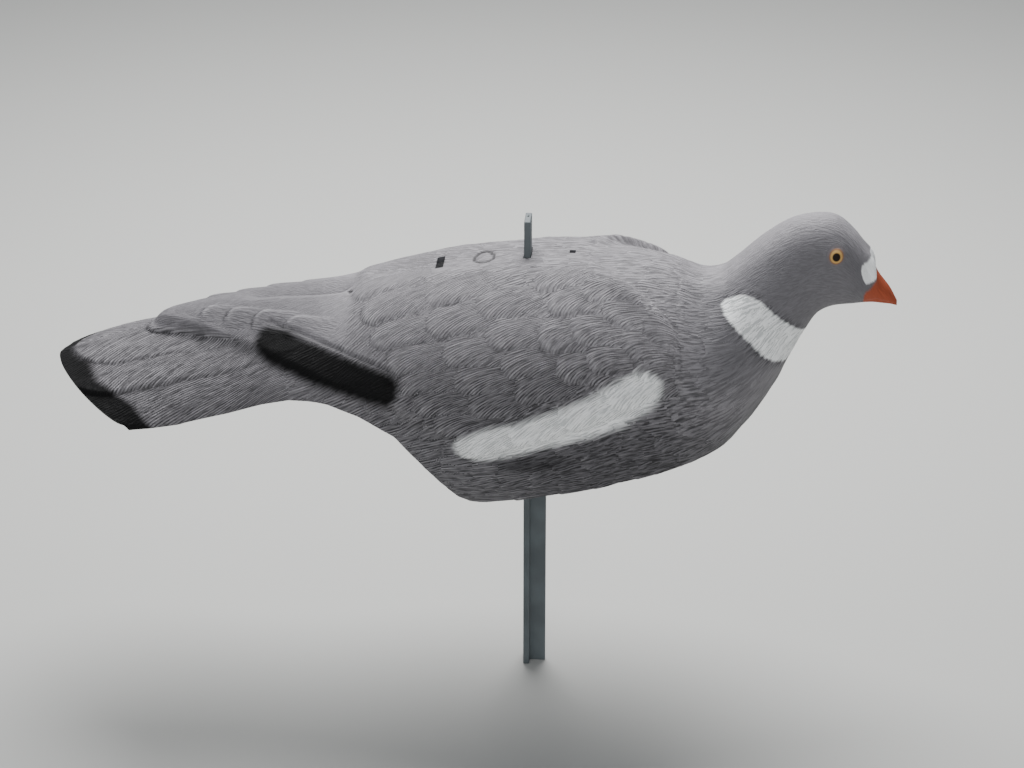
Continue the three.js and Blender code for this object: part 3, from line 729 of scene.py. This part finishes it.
    # The feather steps up inside a round and ragged outline, and falls to nothing at its root.
    short = larger(minus(half_width, along), 0.0)
    in_tip = minus(half_width, vector("LENGTH", combine(short, across)))
    ragged = tree.noise(combine(over_barbs, number, 0.0), RAGGED_SCALE, 1.0, given["Seed"])
    ragged = times(minus(ragged, 0.5), times(loose, given["Ragged tips"]))
    slope = tree.span(plus(in_tip, ragged), 0.0, edge)
    domed = times(slope, minus(2.0, slope))
    fade = larger(minus(1.0, over(along, length)), 0.0)
    lifted = times_plus(outward, lift, 1.0)
    height = times(domed, times(times(separate(tip)[2], fade), lifted))
    own_place = combine(plus(with_barbs, number), plus(over_barbs, number), loose)
    on_top = on_faces(tree.above(height, level("top")), "BOOLEAN")
    barb = tree.out("GeometryNodeSwitch", {"input_type": "VECTOR"},
                    {"Switch": on_top, "False": attribute("barb"), "True": own_place})
    carved = keep(start.outputs["Geometry"], "barb", barb, "CORNER", "FLOAT_VECTOR")
    carved = keep(carved, "top", larger(height, level("top")), "FACE")
    carved = keep(carved, "relief", larger(height, level("relief")))
    tree.put(end, "Geometry", carved)

    # Lumps and strands are added, and all of it is moved outwards.
    lumpy, stranded, _ = separate(attribute("plumage"))
    lump_scale = over(1.0, times(given["Lump size"], given["Unit"]))
    lumps = tree.noise(position, lump_scale, 2.0, given["Seed"])
    lumps = times(minus(lumps, 0.5), times(lumpy, given["Lump height"]))
    strand_size = combine(given["Strand length"], given["Strand width"], 1.0)
    strand_place = vector("DIVIDE", attribute("barb"), strand_size)
    strands = tree.noise(vector("MULTIPLY", strand_place, (1, 1, 0)), 1.0, 1.0,
                         plus(given["Seed"], drift))
    strands = times(minus(strands, 0.5), times(stranded, given["Strand height"]))
    hidden_from, hidden = TUFTS_HIDDEN
    feathered = tree.smooth(level("relief"), 0.0, hidden_from)
    under = times(level("tuft rise"), times_plus(feathered, -hidden, 1.0))
    rise = plus(level("relief"), plus(plus(lumps, strands), under))
    risen = keep(end.outputs["Geometry"], "rise", rise)
    rise = level("rise")
    around = tree.out("GeometryNodeBlurAttribute", {"data_type": "FLOAT"},
                      {"Value": rise, "Iterations": PIT_BLUR})
    sunk = keep(risen, "pit", minus(around, rise))
    rise = times(rise, times(given["Unit"], level("painted")))
    offset = vector("MULTIPLY", attribute("outward"), combine(rise, rise, rise))
    moved = tree.out("GeometryNodeSetPosition", None, {"Geometry": sunk, "Offset": offset})
    whole = tree.out("GeometryNodeRealizeInstances", None, {"Geometry": moved})
    plain = tree.out("GeometryNodeSetMaterial", None, {"Geometry": whole, "Material": given["Inside"]})
    # The paint runs over the rim as well, whose faces have corners on both walls.
    painted = tree.above(level("painted"), 0.1)
    done = tree.out("GeometryNodeSetMaterial", None,
                    {"Geometry": plain, "Selection": painted, "Material": given["Outside"]})
    tree.put(tree.node("NodeGroupOutput"), "Shell", done)
    return group


def evaluated(piece, name):
    """The piece with its modifiers turned to plain mesh, under a new name."""
    link(piece)
    view = bpy.context.evaluated_depsgraph_get()
    mesh = bpy.data.meshes.new_from_object(piece.evaluated_get(view), depsgraph=view)
    mesh.name = name
    bpy.data.objects.remove(piece)
    return bpy.data.objects.new(name, mesh)


def add_nodes(piece, group, values):
    modifier = piece.modifiers.new(group.name, "NODES")
    modifier.node_group = group
    for item in group.interface.items_tree:
        if item.in_out == "INPUT" and item.name in values:
            modifier[item.identifier] = values[item.name]


# Materials.


def new_material(name):
    material = bpy.data.materials.new(name)
    material.use_nodes = True
    tree = Tree(material.node_tree)
    return material, tree, material.node_tree.nodes["Principled BSDF"]


def painted_plastic():
    """Matt paint over moulded barbs, with painted shade in grooves and pits, and the markings sprayed on."""
    material, tree, shader = new_material("painted plumage")
    plus, minus, times, times_plus = tree.plus, tree.minus, tree.times, tree.times_plus
    larger, smooth, mixed, separate = tree.larger, tree.smooth, tree.mixed, tree.separate

    def attribute(name, output="Vector"):
        return tree.node("ShaderNodeAttribute", {"attribute_name": name}).outputs[output]

    along, across, loose = separate(attribute("barb"))
    p, a, signed_a = separate(attribute("place"))
    drift = times(signed_a, PATTERN_DRIFT)
    spot = tree.vector("MULTIPLY", tree.node("ShaderNodeTexCoord").outputs["Object"], (1000, 1000, 1000))
    size, least, more = STREAK_WANDER
    wander = minus(tree.noise(spot, 1 / size, 2.0), 0.5)
    across = plus(across, times(wander, times_plus(loose, more, least)))

    def streaks(length, width, detail=1.0):
        stretched = tree.combine(times(along, 1 / length), times(across, 1 / width))
        return tree.noise(stretched, 1.0, detail, drift)

    # Even barbs, and streaks that start and stop.
    pulse = streaks(*PULSE)
    wave = tree.math("SINE", times(across, math.tau / BARB_SPACING))
    even = smooth(times_plus(wave, 0.5, 0.5), 0.0, 0.8)
    even = times(even, tree.span(pulse, 0.35, 0.65, 0.1, 1.0))
    streak = smooth(streaks(*LOOSE_STREAK, 2.0), 0.37, 0.6)
    relief = plus(times(even, minus(1.0, loose)), times(streak, loose))
    fine = separate(attribute("plumage"))[2]
    fine_streak = smooth(streaks(*FINE_STREAK), 0.25, 0.75, 0.45, 0.85)
    relief = tree.out("ShaderNodeMix", {"data_type": "FLOAT"},
                      {"Factor": fine, "A": relief, "B": fine_streak})
    groove = minus(1.0, relief)
    pit = attribute("pit", "Fac")

    # Mottled greys, with painted shade on the lower side and the neck, and a painted highlight on the raised
    # rims.
    grain = smooth(tree.noise(spot, 1 / GRAIN_SIZE, 3.0), 0.3, 0.7)
    grey = mixed(grain, paint(BODY_GREY), paint(BODY_GREY, GRAIN_LIGHTER))
    speckle = tree.noise(spot, SPECKLE_SCALE, 2.0)
    grey = mixed(smooth(speckle, 0.3, 0.7), grey, paint(BODY_GREY, SPECKLE_LIGHTER))
    # Painted shade on the lower side and on the side of the neck.
    low = times(smooth(a, *BELLY_DOWN), smooth(p, *BELLY_ALONG))
    belly = mixed(smooth(p, *BREAST_ALONG), paint(BELLY_GREY), paint(BREAST_SHADE_GREY))
    grey = mixed(low, grey, belly)
    neck = times(smooth(a, *NECK_DOWN), smooth(a, *NECK_FOOT))
    neck = times(neck, smooth(p, *NECK_ALONG))
    grey = mixed(neck, grey, paint(NECK_SHADE_GREY))
    # A painted highlight where a point stands above its surroundings.
    colour = mixed(smooth(pit, -0.03, -0.3, 0.0, 0.36), grey, paint(RIM_LIGHT), "SCREEN")

    def sprayed(colour, name, top, softness, raggedness):
        reach = plus(attribute(name, "Fac"), times(minus(pulse, 0.5), raggedness))
        return mixed(smooth(reach, -softness, softness), colour, top)

    for name, top, softness, raggedness in DARK_SPRAYS:
        colour = sprayed(colour, name, paint(top), softness, raggedness)
    side = smooth(a, *SIDE_DOWN)
    flights = times(fine, smooth(p, *FLIGHTS_ALONG))
    colour = mixed(flights, colour, paint(FLIGHTS_SHADE), "MULTIPLY")
    # Painted shade in the grooves, stronger on the side and the tail, and in the pits.
    everywhere, more = GROOVE_SHADOW_STRENGTH
    groove_shadow = times_plus(larger(side, smooth(p, *TAIL_ALONG)), more, everywhere)
    colour = mixed(times(groove, groove_shadow), colour, paint(GROOVE_SHADOW), "MULTIPLY")
    colour = mixed(smooth(pit, 0.02, 0.36, 0.0, 0.6), colour, paint(PIT_SHADOW), "MULTIPLY")
    # The whites stay grey in their grooves, where the grey shows through thin white and painted shade
    # darkens them.
    white = mixed(smooth(groove, 0.4, 1.0, 0.0, 0.6), paint(WHITE), paint(WHITE_GROOVE))
    for name, softness, raggedness in WHITE_SPRAYS:
        colour = sprayed(colour, name, white, softness, raggedness)
    # Painted shadow in the moulded ring and the nick on the back.
    mark_shadow = smooth(attribute("mark", "Fac"), 0.2, 0.8, 0.0, 0.8)
    colour = mixed(mark_shadow, colour, paint(MARK_SHADOW), "MULTIPLY")

    # The eye, and the face without streaks round it.
    x, _, z = separate(spot)
    from_eye = tree.combine(times(minus(x, EYE[0]), EYE_NARROWER), minus(z, EYE[1]))
    from_eye = tree.vector("LENGTH", from_eye)
    for radius, ring in EYE_RINGS:
        inside = smooth(from_eye, radius + EYE_RING_BLUR, radius - EYE_RING_BLUR)
        colour = mixed(inside, colour, paint(ring))
    on_beak = smooth(attribute("beak", "Fac"), -0.5, 0.5)
    smooth_face = larger(on_beak, smooth(from_eye, *SMOOTH_EYE))
    depth = times(relief, times_plus(side, 0.5, 1.0))
    depth = times(depth, minus(1.0, smooth_face))
    height = times_plus(speckle, 0.14, depth)
    bump = tree.node("ShaderNodeBump", None,
                     {"Strength": 1.0, "Distance": BARB_DEPTH * MM, "Height": height})
    tree.put(shader, "Base Color", colour)
    tree.put(shader, "Normal", bump.outputs["Normal"])
    tree.put(shader, "Roughness", tree.span(speckle, 0.3, 0.7, 0.6, 0.74))
    shader.inputs["Specular IOR Level"].default_value = 0.2
    return material


def bare_plastic(name, colour, scratch_stretch=(1, 1, 1)):
    """Unpainted moulded plastic with a faint mottle and fine scratches."""
    material, tree, shader = new_material(name)
    place = tree.node("ShaderNodeTexCoord").outputs["Object"]
    mottle = tree.noise(place, MOTTLE_SCALE, 3.0)
    scratch = tree.noise(tree.vector("MULTIPLY", place, scratch_stretch), SCRATCH_SCALE, 2.0)
    dark = paint(colour)
    light = tuple(min(1, value * MOTTLE_LIGHTER) for value in dark[:3]) + (1,)
    tree.put(shader, "Base Color", tree.mixed(tree.smooth(mottle, 0.35, 0.7), dark, light))
    tree.put(shader, "Roughness", tree.span(mottle, 0.3, 0.7, 0.5, 0.66))
    bump = tree.node("ShaderNodeBump", None,
                     {"Strength": 1.0, "Distance": SCRATCH_DEPTH * MM, "Height": scratch})
    tree.put(shader, "Normal", bump.outputs["Normal"])
    return material


# The shell.


def place_in_frame(points):
    """Form millimetres to the frame's metres: the shell spans its CAD node."""
    low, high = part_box("shell")
    top = form_points(np.linspace(*CROWN_BETWEEN, 400), np.zeros(400))[:, 2].max()
    unit = (high.x - low.x) / (SECTIONS[-1, 0] - SECTIONS[0, 0])
    return (points - [SECTIONS[0, 0], 0, top]) * unit + [low.x, 0, high.z], unit


def band(low, high, flip=False):
    """Quads between two rows of vertex numbers."""
    quads = np.stack([low[:-1], high[:-1], high[1:], low[1:]], 1)
    return (quads[:, ::-1] if flip else quads).tolist()


def zipped(first, second, flip=False):
    """Triangles between two chains of vertex numbers that run side by side with unlike steps."""
    faces = []
    i = j = 0
    while i + 1 < len(first) or j + 1 < len(second):
        behind = (i + 1) / (len(first) - 1) <= (j + 1) / (len(second) - 1)
        step_first = j + 1 >= len(second) or (i + 1 < len(first) and behind)
        corner = first[i + 1] if step_first else second[j + 1]
        face = [int(first[i]), int(corner), int(second[j])]
        faces.append(face[::-1] if flip else face)
        i, j = (i + 1, j) if step_first else (i, j + 1)
    return faces


def shell_mesh():
    """The outer wall, the coarser inner wall and the rim between them, with all that the carving reads."""
    s, p, a, outer, inner, normal = shell_grid()
    rows, columns = p.shape
    inner_rows = [i for i in range(0, rows, INNER_ROW_STEP) if s[i, 0] <= HOLLOW_END]
    inner_columns = np.arange(0, columns, INNER_COLUMN_STEP)
    inner_shape = len(inner_rows), len(inner_columns)
    outer_numbers = np.arange(rows * columns).reshape(rows, columns)
    inner_numbers = rows * columns + np.arange(math.prod(inner_shape)).reshape(inner_shape)
    # Ahead of the opening a row's two ends are one point, on the middle of the belly.
    outer_numbers[OPEN_ROWS:, -1] = outer_numbers[OPEN_ROWS:, 0]
    inner_closed = inner_rows.index(OPEN_ROWS)
    inner_numbers[inner_closed:, -1] = inner_numbers[inner_closed:, 0]
    grid = np.ix_(inner_rows, inner_columns)
    last = inner_rows[-1]
    points = np.concatenate([outer.reshape(-1, 3), inner[grid].reshape(-1, 3),
                             [outer[-1].mean(axis=0), inner[last].mean(axis=0)]])
    tip, end = len(points) - 2, len(points) - 1
    faces = []
    for i in range(rows - 1):
        faces += band(outer_numbers[i], outer_numbers[i + 1])
    for i in range(len(inner_rows) - 1):
        faces += band(inner_numbers[i], inner_numbers[i + 1], True)
    open_inner = inner_numbers[:inner_closed + 1]
    faces += zipped(outer_numbers[:OPEN_ROWS + 1, 0], open_inner[:, 0], True)
    faces += zipped(outer_numbers[:OPEN_ROWS + 1, -1], open_inner[:, -1])
    faces += zipped(outer_numbers[0], inner_numbers[0])
    faces += [[tip, int(b), int(c)] for b, c in zip(outer_numbers[-1, 1:], outer_numbers[-1])]
    faces += [[end, int(b), int(c)] for b, c in zip(inner_numbers[-1], inner_numbers[-1, 1:])]

    places, unit = place_in_frame(points)
    mesh = bpy.data.meshes.new("shell form")
    mesh.from_pydata(places.tolist(), [], faces)
    along, girth = (
        np.concatenate([values.ravel(), values[grid].ravel(), [values[-1].mean(), values[last].mean()]])
        for values in (p, a))
    painted = (np.arange(len(points)) < rows * columns).astype(float)
    painted[tip] = 1
    outward = np.zeros((len(points), 3))
    outward[:rows * columns] = normal.reshape(-1, 3)
    store(mesh, "outward", outward)
    store(mesh, "painted", painted)
    store_plumage(mesh, along, girth, points)
    return mesh, unit


def store_plumage(mesh, along, girth, points):
    """Each point's place, the plumage there, the patches of paint, and a start for the carving's heights."""
    lumpy = np.interp(along, LOOSENESS[:, 0], LOOSENESS[:, 2]) * smoothstep(*TUFTED_GIRTH, girth)
    fine = smoothstep(*FINE_PLUMAGE, along) * (1 - smoothstep(-4, 0, inside_distance(COLLAR, along, girth)))
    fine = np.maximum(fine, FINE_FLIGHTS * smoothstep(-1, 3, inside_distance(FLIGHTS, along, girth)))
    stranded = 1 - (1 - STRANDS_ON_FINE) * fine
    stranded = np.where(inside_distance(BEAK, along, girth) > -3, 0, stranded)
    stranded = stranded * smoothstep(*BARE_EYE, distance_from_eye(points))
    signed = girth * np.sign(points[:, 1])
    store(mesh, "place", np.stack([along, girth, signed], 1))
    store(mesh, "plumage", np.stack([lumpy, stranded, fine], 1))
    store(mesh, "relief", np.zeros(len(points)))
    store(mesh, "top", np.full(len(mesh.polygons), LOWEST_TOP), "FACE")
    store(mesh, "mark", -back_marks(along, girth, points))
    for name, outline in PATCHES.items():
        store(mesh, name, inside_distance(outline, along, girth))


# The stake's T section is centred on the origin, flange behind and web ahead.
FLANGE_THICKNESS = 3
FLANGE_WIDTH = 11.5
TAB_HEIGHT = 18
SLOT_CLEARANCE = 0.35
SPARE_SLOT_SPACING = 41.5
PIN_HOLE_SPACING = 21
PIN_HOLE = (2.8, 2.8)
# How much higher the back is there than at the stake.
SPARE_SLOT_RISE = -4
PIN_HOLE_RISE = 2
CUTTER_HEIGHT = 30


def slot_cutter(name, x, size_x, size_y, z):
    """A block through the shell's wall, low and high enough to leave a clean slot."""
    mesh = bpy.data.meshes.new(name)
    half = Vector((size_x, size_y, CUTTER_HEIGHT)) / 2
    sides = product((-1, 1), repeat=3)
    corners = [(x + sx * half.x, sy * half.y, z + sz * half.z) for sx, sy, sz in sides]
    faces = [(0, 1, 3, 2), (4, 6, 7, 5), (0, 4, 5, 1), (2, 3, 7, 6), (0, 2, 6, 4), (1, 5, 7, 3)]
    mesh.from_pydata([[MM * value for value in corner] for corner in corners], [], faces)
    return bpy.data.objects.new(name, mesh)


def cut_with(piece, cutters, material, name):
    """The piece without what the cutters take away, as plain mesh. The cuts get the material."""
    for cutter in cutters:
        link(cutter)
        cutter.data.materials.append(material)
        cut = piece.modifiers.new(cutter.name, "BOOLEAN")
        cut.object = cutter
        cut.operation = "DIFFERENCE"
        cut.solver = "MANIFOLD"
    piece = evaluated(piece, name)
    for cutter in cutters:
        bpy.data.objects.remove(cutter)
    return piece


def shade(piece, sharp_degrees):
    piece.data.shade_smooth()
    piece.data.set_sharp_from_angle(angle=math.radians(sharp_degrees))


def make_shell(painted, bare):
    mesh, unit = shell_mesh()
    form = bpy.data.objects.new("shell form", mesh)
    feathers = feather_points()
    tufts = tuft_points()
    add_nodes(form, carving_tree(), {
        **CARVING, "Feathers": feathers, "Tufts": tufts, "Unit": unit, "Inside": bare, "Outside": painted})
    shell = evaluated(form, "shell_plumage")
    for points in (feathers, tufts):
        bpy.data.objects.remove(points)
    low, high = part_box("stake")
    flange = low.x / MM + FLANGE_THICKNESS / 2
    slot = FLANGE_THICKNESS + 2 * SLOT_CLEARANCE, FLANGE_WIDTH + 2 * SLOT_CLEARANCE
    back = high.z / MM - TAB_HEIGHT
    shell = cut_with(shell, [
        slot_cutter("stake slot", flange, *slot, back),
        slot_cutter("spare slot", flange - SPARE_SLOT_SPACING, *slot, back + SPARE_SLOT_RISE),
        slot_cutter("pin hole", flange + PIN_HOLE_SPACING, *PIN_HOLE, back + PIN_HOLE_RISE),
    ], bare, "shell_plumage")
    shade(shell, 65)
    return shell


# The stake.

STAKE_EASE = 0.45  # how much its edges are rounded
PIN_MARK = (1.2, 0.55, 1.5)  # on the tab's end: y, radius and depth


def pin_cutter(low, high):
    """A short rod that leaves the mark of an ejector pin on the tab's end."""
    y, radius, depth = PIN_MARK
    rod = bmesh.new()
    bmesh.ops.create_cone(rod, cap_ends=True, segments=20, radius1=radius * MM, radius2=radius * MM,
                          depth=2 * depth * MM)
    bmesh.ops.translate(rod, verts=rod.verts, vec=(low.x + FLANGE_THICKNESS / 2 * MM, y * MM, high.z))
    cutter = bpy.data.objects.new("pin mark", bpy.data.meshes.new("pin mark"))
    rod.to_mesh(cutter.data)
    rod.free()
    return cutter


def make_stake(plastic):
    """The T-shaped stake with its edges eased, and the mark of an ejector pin on the tab's end."""
    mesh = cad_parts["stake"].data.copy()
    outline = bmesh.new()
    outline.from_mesh(mesh)
    bmesh.ops.remove_doubles(outline, verts=outline.verts, dist=0.01 * MM)
    bmesh.ops.dissolve_limit(outline, angle_limit=math.radians(2), verts=outline.verts, edges=outline.edges)
    outline.to_mesh(mesh)
    outline.free()
    mesh.materials.clear()
    mesh.materials.append(plastic)
    stake = bpy.data.objects.new("stake_bar", mesh)
    bevel = stake.modifiers.new("eased edges", "BEVEL")
    bevel.width = STAKE_EASE * MM
    bevel.segments = 3
    stake = cut_with(stake, [pin_cutter(*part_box("stake"))], plastic, "stake_bar")
    shade(stake, 30)
    return stake


# The scene.

FLOOR_GREY = (186, 186, 183)
FLOOR_REACH = 6
SKY = ((0.9, 0.95, 1, 1), 0.34)  # colour and strength
LIGHTS_AIM = (0, 0, 0.15)
# Round area lights: place, size and power.
LIGHTS = {"sky panel": ((-0.05, 0.46, 0.92), 0.8, 21.5), "front fill": ((0.05, -1.4, 0.6), 0.8, 7)}


def add_piece(piece, slot, *nodes):
    link(piece)
    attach(piece, "root")
    if nodes:
        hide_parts(*nodes)


def area_light(name, place, size, power):
    data = bpy.data.lights.new(name, "AREA")
    data.shape = "DISK"
    data.size = size
    data.energy = power
    light = bpy.data.objects.new(name, data)
    light.location = place
    light.rotation_euler = (Vector(LIGHTS_AIM) - Vector(place)).to_track_quat("-Z", "Y").to_euler()
    link(light)


def floor():
    mesh = bpy.data.meshes.new("studio floor")
    corners = [(FLOOR_REACH * x, FLOOR_REACH * y, 0) for x, y in ((-1, -1), (1, -1), (1, 1), (-1, 1))]
    mesh.from_pydata(corners, [], [(0, 1, 2, 3)])
    material, _, shader = new_material("pale floor")
    shader.inputs["Base Color"].default_value = paint(FLOOR_GREY)
    shader.inputs["Roughness"].default_value = 0.9
    mesh.materials.append(material)
    piece = bpy.data.objects.new("studio_floor", mesh)
    link(piece)


def camera():
    """The photograph's view: from the bird's right, turned a little and looking down."""
    azimuth, elevation = math.radians(4.5), math.radians(27)
    distance = 1.3672
    target = Vector((-0.0114, 0, 0.15487))
    level = math.cos(elevation)
    back = Vector((math.sin(azimuth) * level, -math.cos(azimuth) * level, math.sin(elevation)))
    data = bpy.data.cameras.new("camera")
    data.lens = 100
    data.sensor_width = 36
    data.clip_start = 0.05
    eye = bpy.data.objects.new("camera", data)
    eye.location = target + back * distance
    eye.rotation_euler = (-back).to_track_quat("-Z", "Y").to_euler()
    link(eye)
    bpy.context.scene.camera = eye


def sky(colour, strength):
    world = bpy.data.worlds.new("studio")
    bpy.context.scene.world = world
    world.use_nodes = True
    background = world.node_tree.nodes["Background"]
    background.inputs["Color"].default_value = colour
    background.inputs["Strength"].default_value = strength


camera()
painted = painted_plastic()
inside = bare_plastic("bare shell plastic", INSIDE_GREY)
add_piece(make_shell(painted, inside), "painted_shell", "shell")
stake_plastic = bare_plastic("stake plastic", STAKE_GREY, STAKE_SCRATCHES)
add_piece(make_stake(stake_plastic), "stake_plastic", "stake")

floor()
sky(*SKY)
for name, setting in LIGHTS.items():
    area_light(name, *setting)
